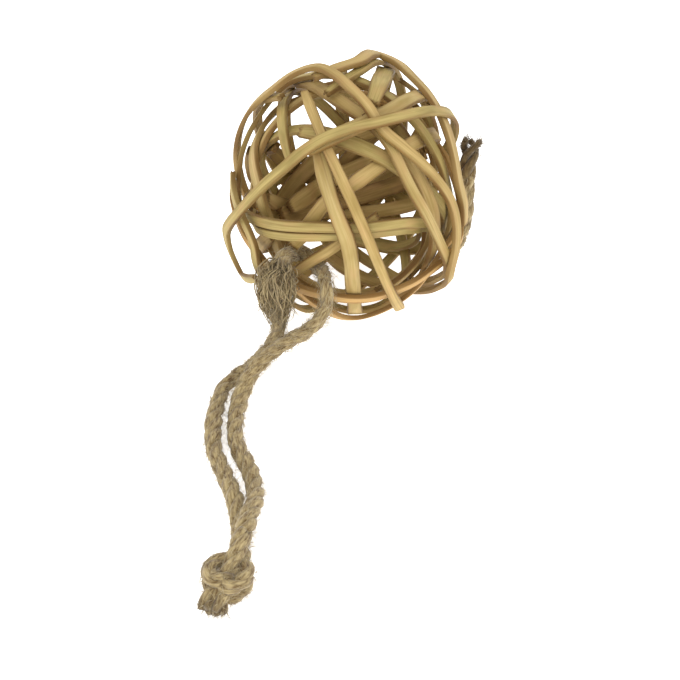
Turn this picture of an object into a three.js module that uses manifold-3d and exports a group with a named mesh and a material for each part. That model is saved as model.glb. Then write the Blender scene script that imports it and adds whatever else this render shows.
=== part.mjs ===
// An openwork wicker ball with a hanging loop of twine.
// Millimetres, +Z up. The ball rests on a small flat spot whose middle is the origin, and +Y runs
// straight away from someone who looks down on the ball's face.

import * as THREE from "three";
import { mergeVertices } from "three/addons/utils/BufferGeometryUtils.js";
import Module from "manifold-3d";

// The ball, measured to the middle of the woven wall
const HALF_WIDTH = 23.2;
const HALF_DEPTH = 26.6;
const HALF_HEIGHT = 26.6;
const WALL_OUTSIDE = 3.4;
const FLAT_SPOT_DEPTH = 0.9;

// How the ball's face is seen: strands are laid by where they show on the face
const VIEW_ELEVATION = THREE.MathUtils.degToRad(35);
const VIEW_DISTANCE = 316;

// The strips
const GAP = 0.3;
const THICKNESS = 1.0;
const SLIM = 2.0;
const MIDDLE = 2.4;
const BROAD = 3.4;
const WIDE = 4.2;
const CROWN = 0.78;
const END_TAPER = 0.7;
const STATION_SPACING = 4.8;
const SEEN_POINTS = 48;
const DIVISIONS_PER_POINT = 8;
const RUN_STEP = 10;
const LAYER_STEP = 0.25;
const OUTERMOST_LAYER = 3.4;
const STAND_OFF_FADE = 0.5;

// The strips that bed on the floor where they come close to it
const BED_REACH = 4.4;
const BED_PRESS = 4;
const BED_FLATTENING = 0.2;

// Settling of the weave: how stiff the strips are and how hard they keep to their own layer
const SETTLE_ROUNDS = 500;
const PRESS_ROUNDS = 400;
const STIFFNESS = 0.22;
const LAYER_PULL = 0.02;
const CONTACT_SPACING = 0.8;
const CONTACT_MARGIN = 0.25;
const SETTLED = 0.01;

// The twine
const TWINE = 3.8;
const TWINE_SIDES = 8;
const TWINE_STEP = 3.5;
const WELD = 1e-4;

const ROUGHNESS = 0.75;
const COLOURS = {
  strip: new THREE.Color("#c2a56a"),
  bottomStrip: new THREE.Color("#c3965a"),
  twine: new THREE.Color("#9d855f"),
};

// Every strand is a long strip wound round the ball, and they are listed in the order they were
// wound, so each lies outside all those above it in the list. seen gives where its middle line shows
// on the face, right and up from the face's middle, in the plane through the ball's middle, with a
// third number where it stands off the ball. A far strand is seen through the ball, on its other side.
// before and after are the degrees that a strand runs on past its first and last seen points, and
// turnBefore and turnAfter how far it veers there. A bedded strand lies on the floor under the ball.
const STRANDS = [
  { name: "back_band_upper", far: true, width: WIDE, before: 60, after: 40,
    seen: [[0.5, 4.6], [9.9, 7.9]] },
  { name: "back_band_middle", far: true, width: WIDE, before: 70, after: 30,
    seen: [[2.8, -1], [13.5, 2.6]] },
  { name: "back_band_lower", far: true, width: BROAD, before: 80, after: 40,
    seen: [[2.3, -4.6], [14.4, -2.8]] },
  { name: "back_slant_left", far: true, width: WIDE, before: 60, after: 40,
    seen: [[-8.8, 5.2], [-15.5, -3.7]] },
  { name: "back_slant_middle", far: true, width: BROAD, before: 70, after: 50,
    seen: [[-5.2, 0.8], [-10.2, -5.9]] },
  { name: "back_shoulder", far: true, width: BROAD, before: 20, after: 80,
    seen: [[-17.7, 10.2], [-12.4, 5.7]] },
  { name: "left_shoulder_bar", width: MIDDLE, before: 200, after: 40,
    seen: [[-22, 11], [-12, 13.5], [-4, 13]] },
  { name: "right_upright", width: BROAD, before: 130, after: 150, turnAfter: 15,
    seen: [[20.2, 14], [21.3, 5.5], [20.4, -6]] },
  { name: "right_rim_inner", width: MIDDLE, before: 150, after: 140, turnBefore: 25, turnAfter: -20,
    seen: [[22.7, 17], [25, 5.5], [24.2, -7]] },
  { name: "left_hip", width: BROAD, before: 14, after: 1,
    seen: [[-6, -4], [-10, -9.6], [-11.6, -11.7]] },
  { name: "loop_strand", width: MIDDLE, before: 8, after: 200,
    seen: [[4, -7.5], [-2.1, -11.8], [-9.2, -16.3], [-14, -19.5]] },
  { name: "left_upright", width: BROAD, before: 200, after: 6,
    seen: [[-20.2, 16], [-20.8, 9], [-20, 2], [-18.2, -6], [-16, -13]] },
  { name: "right_shoulder_band", width: BROAD, before: 220, after: 20,
    seen: [[23.2, 15], [13.2, 10], [6, 5]] },
  { name: "waist_lower", width: SLIM, before: 100, after: 140,
    seen: [[-20.7, -8.3], [-4.8, -10], [12.7, -8.5], [21.4, -8.2]] },
  { name: "waist_upper", width: MIDDLE, before: 130, after: 110,
    seen: [[-20.5, -6], [-4.8, -8], [3, -8], [12.7, -6.9], [20.4, -6.4]] },
  { name: "left_shoulder_hook", width: MIDDLE, before: 220, after: 6,
    seen: [[-13.2, 21.5], [-14.5, 15], [-13.4, 8.8]] },
  { name: "right_chest_band", width: BROAD, before: 20, after: 220,
    seen: [[-1.7, 11.5], [10.7, 6], [20.2, -2]] },
  { name: "shoulder_band", width: BROAD, before: 130, after: 150,
    seen: [[-11.5, 24.4], [-2, 20], [5, 15.5], [15, 5]] },
  { name: "middle_upright", width: BROAD, before: 1, after: 190,
    seen: [[-6.4, 8.4], [-4.3, 0.5], [-2, -6], [0.3, -12], [1.4, -21.5], [1.9, -28]] },
  { name: "left_rim", bedded: true, width: MIDDLE, before: 150, after: 150, turnBefore: -20, turnAfter: -25,
    seen: [[-25.8, 6.5, 2], [-19.7, 19, 1.2], [-15.2, 22.5, 0.6]] },
  { name: "foot_ring_lower", width: SLIM, before: 30, after: 95, turnBefore: 15, turnAfter: 20,
    colour: "bottomStrip", seen: [[-4.2, -26.5, 0.8], [2.2, -29.4, 2], [9.2, -26.4, 0.8]] },
  { name: "foot_ring_upper", width: MIDDLE, before: 70, after: 130, colour: "bottomStrip",
    seen: [[-13, -20.5], [-3.2, -23.6], [8.7, -23], [21.2, -16.5]] },
  { name: "long_slant", width: MIDDLE, before: 4, after: 3,
    seen: [[-9.2, 21], [-4.2, 9], [1.2, -2.5], [9.2, -21], [12, -26]] },
  { name: "left_slant", bedded: true, width: MIDDLE, before: 2, after: 205, turnAfter: 6.5,
    seen: [[-26.3, 3.5], [-21.2, -11], [-18.4, -20]] },
  { name: "right_slant", bedded: true, width: MIDDLE, before: 12, after: 230,
    seen: [[7.4, 13], [13.7, 1.8], [18.2, -6], [22.8, -17]] },
  { name: "front_arch_double", bedded: true, width: BROAD, before: 200, after: 1,
    seen: [[17.9, 21.2], [8.2, 17.2], [-0.2, 13.4], [-8.5, 9.2]] },
  { name: "crown_upright", width: WIDE, before: 110, after: 3,
    seen: [[8.8, 28.2, 0.5], [7.4, 24.6], [5.8, 20.4]] },
  { name: "crown_band_front", width: MIDDLE, before: 6, after: 110,
    seen: [[-2.6, 23.6], [2.4, 26.4], [7, 28.4]] },
  { name: "right_rim", width: BROAD, before: 6, after: 20, turnAfter: 30,
    seen: [[-4.6, 26.2], [1.4, 28.4], [7.6, 29.8, 1], [11.6, 27.7, 0.4], [15.4, 24.4], [20, 18.5],
      [22.4, 12.6], [23.7, 7], [24.4, 1]] },
  { name: "crown_to_right_foot", bedded: true, width: MIDDLE, before: 100, after: 80, turnBefore: -25,
    turnAfter: 50, seen: [[-17.7, 21.5], [-8, 27], [4, 19.2], [8.7, 13.2], [17, 6], [23.6, -3.3],
      [24.8, -11, 0.6], [23.4, -17, 1.2]] },
  { name: "front_arch", bedded: true, width: MIDDLE, before: 180, after: 3,
    seen: [[20.5, 18], [7.2, 15.6], [-1, 13.6], [-7.7, 10.6], [-14.1, 5.4], [-23.2, -3],
      [-26.9, -11.5, 3], [-24.6, -18.7, 3], [-21, -19.5, 2]] },
];

// The loop of twine: where it passes behind a strand, and its two legs down to the floor and along it
const BIGHT_ROUTE = [
  [-14.4, -26.6, 26.6], [-14.1, -25.2, 27.8], [-13.5, -22.6, 27.9], [-12, -19.6, 26.6], [-9.9, -17.7, 25.5],
  [-7.6, -18.2, 24], [-5.8, -21.2, 23.8], [-5.1, -23.7, 25], [-4.8, -25.3, 25.4], [-4.6, -26.9, 25.1],
];
const LEFT_LEG_ROUTE = [
  [-14.5, -27, 26.3], [-14.8, -28.6, 24.6], [-14.7, -29.2, 20.9], [-14.4, -29.4, 16.8], [-14.8, -28.8, 12.8],
  [-16, -28.6, 9.4], [-18.1, -29.5, 6.4], [-20.8, -30.6, 4], [-24.2, -31.9, 2.2], [-26.7, -35.6, 1.95],
  [-27.6, -40.6, 1.95], [-28, -47.6, 1.95], [-27.3, -53.7, 1.95], [-25.2, -59.8, 1.95], [-22.8, -65.8, 1.95],
  [-21.3, -71.8, 1.95], [-20.4, -77.6, 1.95], [-20.2, -79.9, 1.95],
];
const RIGHT_LEG_ROUTE = [
  [-4.5, -27.4, 25], [-4.3, -29.1, 24.6], [-4.3, -30.4, 21.4], [-5.6, -31.4, 18.8], [-8, -32.1, 16.1],
  [-11.3, -32.6, 14.1], [-14.5, -33.2, 11.9], [-17.6, -33.9, 9.4], [-20.3, -35, 6.5], [-21.9, -36.4, 3.7],
  [-23, -40, 2.1], [-23.4, -45.6, 1.95], [-23.1, -50.5, 1.95], [-21.7, -55.2, 1.95], [-19.6, -59.8, 1.95],
  [-18.4, -64.7, 2.4], [-17.9, -69.5, 4], [-18.5, -74.1, 5.6], [-19.1, -78.1, 6.2], [-19.5, -80.1, 6.2],
];
// The knot that joins the legs: both twines run through it to short cut tails, inside two turns
const KNOT_TWINE = 3.4;
const KNOT_ROUTES = [
  [
    [-20.1, -80.4, 1.95], [-20.1, -82.4, 2], [-20.9, -85.2, 2.3], [-22.6, -88.8, 2.8], [-24.8, -91.8, 2.3],
    [-25.9, -95.2, 1.75],
  ],
  [
    [-19.6, -80.6, 6.2], [-20, -82.6, 6.2], [-20.8, -85.6, 5.6], [-22, -89, 4.4], [-23.2, -92.2, 2.6],
    [-23.4, -95.9, 1.75],
  ],
];
const KNOT_TURN_SIDES = 18;
const KNOT_TURNS = [
  { centre: [-22.1, -88.4, 1.85], radius: 3.3, tilt: 0 },
  { centre: [-22, -88.4, 4.3], radius: 3.5, tilt: -8 },
];
const KNOT_HEART = { centre: [-22, -88.4, 3.2], half: [2.8, 2.8, 2.1] };

// The other end of the twine: out of the ball low on its right and up along its outside
const END_ROUTE = [
  [23.4, 0.4, 11.4], [25.6, 2, 14.4], [26.9, 4.4, 18], [27.4, 7.2, 21.8], [27.6, 10, 25.6],
  [27.9, 12.6, 29.6], [28.5, 14.8, 33.2],
];

const wasm = await Module();
wasm.setup();

const MIDDLE_POINT = new THREE.Vector3(0, 0, HALF_HEIGHT + WALL_OUTSIDE - FLAT_SPOT_DEPTH);
const FACE_RIGHT = new THREE.Vector3(1, 0, 0);
const FACE_OUT = new THREE.Vector3(0, -Math.cos(VIEW_ELEVATION), Math.sin(VIEW_ELEVATION));
const FACE_UP = new THREE.Vector3().crossVectors(FACE_OUT, FACE_RIGHT);

// Distance from the ball's middle to the middle of the wall in a direction
function wallRadius(direction) {
  const x = direction.x / HALF_WIDTH;
  const y = direction.y / HALF_DEPTH;
  const z = direction.z / HALF_HEIGHT;
  return 1 / Math.hypot(x, y, z);
}

// The direction from the ball's middle to a point seen on its face, at a height over the middle of
// the wall. A line of sight that passes just outside gives the place where it comes closest.
function directionSeen([right, up], height, far) {
  const eye = FACE_OUT.clone().multiplyScalar(VIEW_DISTANCE);
  const target = new THREE.Vector3().addScaledVector(FACE_RIGHT, right).addScaledVector(FACE_UP, up);
  const sight = target.sub(eye).normalize();
  const half = new THREE.Vector3(HALF_WIDTH, HALF_DEPTH, HALF_HEIGHT).addScalar(height);
  const scale = new THREE.Vector3(1, 1, 1).divide(half);
  const from = eye.clone().multiply(scale);
  const along = sight.clone().multiply(scale);
  const a = along.lengthSq();
  const b = from.dot(along);
  const c = from.lengthSq() - 1;
  const halfChord = Math.sqrt(Math.max(0, b * b - a * c));
  return eye.addScaledVector(sight, (far ? halfChord - b : -halfChord - b) / a).normalize();
}

// Directions of a great circle that leaves one direction along a heading, veered by an angle
function greatCircle(start, heading, degrees, turn = 0) {
  const sideways = heading.clone().addScaledVector(start, -heading.dot(start)).normalize();
  sideways.applyAxisAngle(start, THREE.MathUtils.degToRad(turn));
  const count = Math.max(1, Math.round(degrees / RUN_STEP));
  return Array.from({ length: count }, (_, i) => {
    const angle = THREE.MathUtils.degToRad((degrees * (i + 1)) / count);
    return start.clone().multiplyScalar(Math.cos(angle)).addScaledVector(sideways, Math.sin(angle));
  });
}

// The strand's course: a smooth curve through its seen points, run on along great circles behind,
// cut into even steps. Each station has a direction from the ball's middle and a wished height.
function courseOf(row, order, heightNear) {
  const layer = OUTERMOST_LAYER - LAYER_STEP * (STRANDS.length - 1 - order);
  const marks = row.seen.map((mark) => {
    const standOff = mark[2] ?? 0;
    const guess = directionSeen(mark, layer + standOff, row.far);
    const height = heightNear ? heightNear(guess) : layer + standOff;
    return { direction: directionSeen(mark, height, row.far), standOff };
  });
  const curve = new THREE.CatmullRomCurve3(marks.map((mark) => mark.direction), false, "centripetal");
  const seen = curve.getSpacedPoints(SEEN_POINTS).map((point) => point.normalize());
  const last = seen.length - 1;
  const lead = greatCircle(seen[0], seen[0].clone().sub(seen[1]), row.before, row.turnBefore).reverse();
  const run = greatCircle(seen[last], seen[last].clone().sub(seen[last - 1]), row.after, row.turnAfter);
  const path = [...lead, ...seen, ...run].map((d) => d.clone().multiplyScalar(wallRadius(d)));
  const route = new THREE.CatmullRomCurve3(path, false, "centripetal");
  route.arcLengthDivisions = path.length * DIVISIONS_PER_POINT;
  const count = Math.round(route.getLength() / STATION_SPACING) + 1;
  const directions = route.getSpacedPoints(count - 1).map((point) => point.normalize());
  const wished = directions.map((direction) => {
    const toFloor = floorHeight(direction) - THICKNESS / 2 - layer;
    if (row.bedded && toFloor < BED_REACH) return layer + toFloor + BED_PRESS;
    return layer + standOffAt(marks, direction);
  });
  return { ...row, order, directions, wished, heights: [...wished] };
}

// How far a strand stands off the ball in a direction, fading out round each mark
function standOffAt(marks, direction) {
  const fades = marks.map((mark) => {
    const fade = Math.max(0, 1 - mark.direction.angleTo(direction) / STAND_OFF_FADE);
    return mark.standOff * fade * fade * (3 - 2 * fade);
  });
  return Math.max(...fades);
}

// A place on a strand between two stations
function placeOn(strand, s) {
  const k = Math.min(strand.directions.length - 2, Math.max(0, Math.floor(s)));
  const t = s - k;
  const direction = strand.directions[k].clone().lerp(strand.directions[k + 1], t).normalize();
  const heading = strand.directions[k + 1].clone().sub(strand.directions[k]).normalize();
  return { k, t, direction, heading };
}

// The place on a strand that is closest to a direction
function closestOn(strand, direction) {
  let best = { distance: Infinity };
  for (let k = 0; k + 1 < strand.directions.length; k += 1) {
    const a = strand.directions[k];
    const step = strand.directions[k + 1].clone().sub(a);
    const t = THREE.MathUtils.clamp(direction.clone().sub(a).dot(step) / step.lengthSq(), 0, 1);
    const distance = a.clone().addScaledVector(step, t).distanceTo(direction);
    if (distance < best.distance) best = { distance, s: k + t };
  }
  return best;
}

// Every place where two strands lie over one another, with the later wound one, which passes
// outside, first
function contactsBetween(one, other) {
  const [outer, inner] = one.order > other.order ? [one, other] : [other, one];
  const contacts = [];
  for (const [a, b] of [[outer, inner], [inner, outer]]) {
    for (let s = 0; s <= a.directions.length - 1; s += CONTACT_SPACING / STATION_SPACING) {
      const here = placeOn(a, s);
      const near = closestOn(b, here.direction);
      const there = placeOn(b, near.s);
      const along = Math.abs(here.heading.dot(there.heading));
      const reach = b.width / 2 + (a.width / 2) * along + CONTACT_MARGIN;
      if (near.distance * wallRadius(here.direction) > reach) continue;
      contacts.push(a === outer ? [outer, here, inner, there] : [outer, there, inner, here]);
    }
  }
  return contacts;
}

// Moves the height at a place of a strand by an amount, shared between the two stations beside it
function nudge(strand, place, amount) {
  const near = 1 - place.t;
  const share = amount / (near * near + place.t * place.t);
  strand.heights[place.k] += share * near;
  strand.heights[place.k + 1] += share * place.t;
}

function heightAt(strand, place) {
  return strand.heights[place.k] * (1 - place.t) + strand.heights[place.k + 1] * place.t;
}

// Presses crossing strands apart until each rests on the other with the gap between them
function pressApart(contacts) {
  let worst = 0;
  for (const [upper, up, lower, down] of contacts) {
    const lack = THICKNESS + GAP - (heightAt(upper, up) - heightAt(lower, down));
    if (lack <= 0) continue;
    worst = Math.max(worst, lack);
    nudge(upper, up, lack / 2);
    nudge(lower, down, -lack / 2);
  }
  return worst;
}

// The floor's height over the middle of the wall in a direction
function floorHeight(direction) {
  return direction.z < 0 ? -MIDDLE_POINT.z / direction.z - wallRadius(direction) : Infinity;
}

// Keeps the strips that pass under the ball on the floor, pressed a little flat
function pressOnFloor(strands) {
  for (const strand of strands) {
    strand.directions.forEach((direction, k) => {
      const limit = floorHeight(direction) - THICKNESS / 2 + BED_FLATTENING;
      strand.heights[k] = Math.min(strand.heights[k], limit);
    });
  }
}

// Bends every strip towards a smooth line and back to the layer it was wound in
function relax(strand) {
  const { heights, wished } = strand;
  const last = heights.length - 1;
  strand.heights = heights.map((height, k) => {
    const before = heights[Math.max(0, k - 1)];
    const after = heights[Math.min(last, k + 1)];
    return height + STIFFNESS * ((before + after) / 2 - height) + LAYER_PULL * (wished[k] - height);
  });
}

function settle(strands) {
  const contacts = [];
  strands.forEach((one, i) => {
    for (const other of strands.slice(i + 1)) contacts.push(...contactsBetween(one, other));
  });
  for (let round = 0; round < SETTLE_ROUNDS; round += 1) {
    strands.forEach(relax);
    pressOnFloor(strands);
    pressApart(contacts);
  }
  for (let round = 0; round < PRESS_ROUNDS; round += 1) {
    pressOnFloor(strands);
    if (pressApart(contacts) < SETTLED) break;
  }
}

// A strip bent along its stations: a long bar whose rings are carried to them, narrower on its
// crowned outer side and towards its ends, and pressed flat where the ball stands
function stripGeometry(strand) {
  const { directions, heights, width } = strand;
  const steps = directions.length - 1;
  const bar = new THREE.BoxGeometry(1, 1, 1, 1, 1, steps);
  bar.deleteAttribute("normal");
  bar.deleteAttribute("uv");
  const corners = bar.getAttribute("position");
  const points = directions.map((d, k) => d.clone().multiplyScalar(wallRadius(d) + heights[k]));
  for (let i = 0; i < corners.count; i += 1) {
    const k = Math.round((corners.getZ(i) + 0.5) * steps);
    const outward = directions[k];
    const heading = points[Math.min(steps, k + 1)].clone().sub(points[Math.max(0, k - 1)]);
    const across = new THREE.Vector3().crossVectors(outward, heading).normalize();
    const narrow = (k === 0 || k === steps ? END_TAPER : 1) * (corners.getY(i) > 0 ? CROWN : 1);
    const corner = points[k].clone()
      .addScaledVector(across, corners.getX(i) * width * narrow)
      .addScaledVector(outward, corners.getY(i) * THICKNESS)
      .add(MIDDLE_POINT);
    corners.setXYZ(i, corner.x, corner.y, Math.max(0, corner.z));
  }
  return mergeVertices(bar);
}

// A twine tube of plain round section along a route
function twineGeometry(route, diameter) {
  const curve = new THREE.CatmullRomCurve3(route.map((point) => new THREE.Vector3(...point)));
  const outline = new THREE.EllipseCurve(0, 0, diameter / 2, diameter / 2).getPoints(TWINE_SIDES);
  const section = new THREE.Shape(outline.slice(0, -1));
  const steps = Math.round(curve.getLength() / TWINE_STEP);
  const tube = new THREE.ExtrudeGeometry(section, { steps, extrudePath: curve, bevelEnabled: false });
  tube.deleteAttribute("normal");
  tube.deleteAttribute("uv");
  return mergeVertices(tube);
}

function solidOf(geometry) {
  const bare = geometry.clone();
  for (const extra of ["normal", "uv"]) bare.deleteAttribute(extra);
  const merged = mergeVertices(bare, WELD);
  return new wasm.Manifold(new wasm.Mesh({
    numProp: 3,
    vertProperties: new Float32Array(merged.getAttribute("position").array),
    triVerts: new Uint32Array(merged.index.array),
  }));
}

// The knot: its two twines, its heart and its turns joined into one solid
function knotGeometry() {
  const heart = new THREE.SphereGeometry(1, KNOT_TURN_SIDES, KNOT_TURN_SIDES / 2);
  heart.scale(...KNOT_HEART.half);
  heart.translate(...KNOT_HEART.centre);
  const turns = KNOT_TURNS.map(({ centre, radius, tilt }) => {
    const turn = new THREE.TorusGeometry(radius, KNOT_TWINE / 2, TWINE_SIDES, KNOT_TURN_SIDES);
    turn.rotateX(THREE.MathUtils.degToRad(tilt));
    turn.translate(...centre);
    return turn;
  });
  const runs = KNOT_ROUTES.map((route) => twineGeometry(route, KNOT_TWINE));
  const pieces = [...turns, ...runs];
  const joined = pieces.reduce((solid, piece) => solid.add(solidOf(piece)), solidOf(heart)).getMesh();
  const knot = new THREE.BufferGeometry();
  knot.setAttribute("position", new THREE.BufferAttribute(joined.vertProperties, 3));
  knot.setIndex(new THREE.BufferAttribute(joined.triVerts, 1));
  return knot;
}

function part(name, geometry, colour) {
  geometry.computeVertexNormals();
  const material = new THREE.MeshStandardMaterial({ color: colour, roughness: ROUGHNESS });
  const mesh = new THREE.Mesh(geometry, material);
  mesh.name = name;
  return mesh;
}

const ball = new THREE.Group();
const firstWinding = STRANDS.map((row, order) => courseOf(row, order));
settle(firstWinding);
const strands = firstWinding.map((strand, order) => {
  const heightNear = (direction) => heightAt(strand, placeOn(strand, closestOn(strand, direction).s));
  return courseOf(STRANDS[order], order, heightNear);
});
settle(strands);
for (const strand of strands) {
  ball.add(part(`strand_${strand.name}`, stripGeometry(strand), COLOURS[strand.colour ?? "strip"]));
}
ball.add(part("twine_bight", twineGeometry(BIGHT_ROUTE, TWINE), COLOURS.twine));
ball.add(part("twine_leg_left", twineGeometry(LEFT_LEG_ROUTE, TWINE), COLOURS.twine));
ball.add(part("twine_leg_right", twineGeometry(RIGHT_LEG_ROUTE, TWINE), COLOURS.twine));
ball.add(part("twine_knot", knotGeometry(), COLOURS.twine));
ball.add(part("twine_end", twineGeometry(END_ROUTE, TWINE), COLOURS.twine));

export default ball;
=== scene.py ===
"""An openwork wicker ball with a knotted jute hanging loop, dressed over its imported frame."""

import functools
import itertools
import logging
from dataclasses import dataclass, field
from enum import Enum

import bpy
import numpy as np
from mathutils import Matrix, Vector


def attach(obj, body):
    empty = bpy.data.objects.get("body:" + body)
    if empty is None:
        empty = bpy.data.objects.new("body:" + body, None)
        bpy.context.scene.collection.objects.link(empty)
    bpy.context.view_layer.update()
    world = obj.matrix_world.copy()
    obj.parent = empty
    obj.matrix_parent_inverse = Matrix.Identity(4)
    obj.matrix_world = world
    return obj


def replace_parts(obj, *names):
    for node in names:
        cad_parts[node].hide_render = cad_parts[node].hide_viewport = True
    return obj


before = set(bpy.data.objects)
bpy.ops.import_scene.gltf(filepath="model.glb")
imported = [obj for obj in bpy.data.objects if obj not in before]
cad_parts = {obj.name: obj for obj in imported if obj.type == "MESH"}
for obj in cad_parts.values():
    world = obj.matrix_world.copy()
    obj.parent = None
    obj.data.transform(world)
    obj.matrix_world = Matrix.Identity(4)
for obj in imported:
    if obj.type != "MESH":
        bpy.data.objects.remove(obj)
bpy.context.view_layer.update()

LOG = logging.getLogger("wicker_ball")
Array = np.ndarray
Point = tuple[float, float, float]
Route = list[Point]
Colour = tuple[float, float, float, float]
Socket = bpy.types.NodeSocket
MM = 0.001
BALL_MIDDLE = np.array([0.0, 0.0, 29.1]) * MM
FLOOR_GAP = 0.04 * MM
UV_NAME = "along_and_round"
BODY = "root"


def linear(colour: str) -> Colour:
    """Turns an sRGB hex colour into linear RGBA.

    Args:
        colour: such as "#c8a060".

    Returns:
        Red, green, blue and alpha, linear.
    """
    parts = np.array([int(colour[i:i + 2], 16) for i in (1, 3, 5)]) / 255
    flat = np.where(parts <= 0.04045, parts / 12.92, ((parts + 0.055) / 1.055) ** 2.4)
    return (*flat.tolist(), 1.0)


def add_node(tree: bpy.types.NodeTree, kind: str, inputs: dict[str | int, object] | None = None,
             **settings: object) -> bpy.types.Node:
    """Adds a shader node with its settings, its input values and its links.

    Args:
        tree: the material's node tree.
        kind: the node's type name.
        inputs: by socket name or number, either a value or the output socket to link.
        settings: the node's own properties.

    Returns:
        The new node.
    """
    node = tree.nodes.new(kind)
    for name, value in settings.items():
        setattr(node, name, value)
    for key, value in (inputs or {}).items():
        if isinstance(value, bpy.types.NodeSocket):
            tree.links.new(value, node.inputs[key])
        else:
            node.inputs[key].default_value = value
    return node


def mix(tree: bpy.types.NodeTree, share: Socket, first: Colour | Socket, second: Colour) -> Socket:
    """Mixes one colour into another.

    Args:
        tree: the material's node tree.
        share: how much of the second colour shows, 0 to 1.
        first: the colour below, or the socket that gives it.
        second: the colour above.

    Returns:
        The mixed colour.
    """
    return add_node(tree, "ShaderNodeMix", {
        0: share, 6: first, 7: second}, data_type="RGBA").outputs[2]


def grain(tree: bpy.types.NodeTree, place: Socket, run_mm: float, across_mm: float, detail: float,
          roughness: float, shift: Point = (0, 0, 0)) -> Socket:
    """Noise that is drawn out along a strip or a ply.

    Args:
        tree: the material's node tree.
        place: the piece's UV map, in millimetres along and across.
        run_mm: about how long a patch is.
        across_mm: about how wide it is.
        detail: how many finer layers the noise has.
        roughness: how much they count.
        shift: moves the pattern, so that it differs from another of the same kind.

    Returns:
        The noise, about 0.5 on average.
    """
    spot = add_node(tree, "ShaderNodeVectorMath", {
        0: place, 1: (1 / run_mm, 1 / across_mm, 1), 2: shift}, operation="MULTIPLY_ADD").outputs[0]
    return add_node(tree, "ShaderNodeTexNoise", {
        "Vector": spot, "Scale": 1.0, "Detail": detail, "Roughness": roughness},
        noise_dimensions="2D").outputs[0]


def ramp(tree: bpy.types.NodeTree, value: Socket, low: float, high: float, most: float = 1.0) -> Socket:
    """Turns a value into a share that rises from 0.

    Args:
        tree: the material's node tree.
        value: what is turned.
        low: where the share is 0.
        high: where it has reached its most.
        most: the largest share.

    Returns:
        The share.
    """
    return add_node(tree, "ShaderNodeMapRange", {
        "Value": value, "From Min": low, "From Max": high, "To Max": most}).outputs[0]


def unit(vectors: Array) -> Array:
    """Vectors scaled to length one along the last axis."""
    return vectors / np.maximum(np.linalg.norm(vectors, axis=-1, keepdims=True), 1e-12)


def run_along(points: Array) -> Array:
    """Distance along a line of points from its start to each point."""
    steps = np.linalg.norm(np.diff(points, axis=0), axis=1)
    return np.concatenate([[0.0], np.cumsum(steps)])


def smooth_path(points: Array, step: float) -> Array:
    """A smooth curve through points, cut into even steps.

    Between two points the curve is the cubic that has their places and the slopes found from their
    neighbours (a cubic Hermite curve over chord length). It is then read off at even distances.

    Args:
        points: (k, 3) places on the curve.
        step: wished distance between stations.

    Returns:
        (n, 3) stations.
    """
    chord = run_along(points)
    slope = np.gradient(points, chord, axis=0)
    fine = np.linspace(0, chord[-1], 24 * len(points))
    k = np.clip(np.searchsorted(chord, fine, side="right") - 1, 0, len(points) - 2)
    span = (chord[k + 1] - chord[k])[:, None]
    t = (fine[:, None] - chord[k][:, None]) / span
    curve = ((1 + 2 * t) * (1 - t) ** 2 * points[k] + t * (1 - t) ** 2 * span * slope[k]
             + t ** 2 * (3 - 2 * t) * points[k + 1] + t ** 2 * (t - 1) * span * slope[k + 1])
    run = run_along(curve)
    even = np.linspace(0, run[-1], max(3, round(run[-1] / step) + 1))
    return np.stack([np.interp(even, run, curve[:, axis]) for axis in range(3)], axis=1)


def carried_frame(path: Array) -> tuple[Array, Array, Array]:
    """Heading, side and other side along a path, carried on without twisting.

    Each side is the one before it with the part along the new heading taken out.

    Args:
        path: (n, 3) stations.

    Returns:
        Three (n, 3) arrays of unit vectors.
    """
    def carry(side: Array, along: Array) -> Array:
        """A side made square to a heading."""
        return unit(side - along * (side @ along))

    heading = unit(np.gradient(path, axis=0))
    least = np.eye(3)[np.argmin(np.abs(heading[0]))]
    first = carry(least, heading[0])
    side = np.array(list(itertools.accumulate(heading[1:], carry, initial=first)))
    return heading, side, np.cross(heading, side)


def wobble(run: Array, seed: int, wavelength: float) -> Array:
    """A smooth irregular wave between about -1 and 1: the mean of four sines of unlike lengths.

    Args:
        run: distance along the piece.
        seed: picks the wave.
        wavelength: its usual length, in the unit of run.

    Returns:
        The wave, shaped as run.
    """
    rng = np.random.default_rng(seed)
    lengths = wavelength * rng.uniform(0.6, 2.0, 4)
    starts = rng.uniform(0, 2 * np.pi, 4)
    return 1.4 * np.sin(2 * np.pi * np.asarray(run)[..., None] / lengths + starts).mean(-1)


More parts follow.
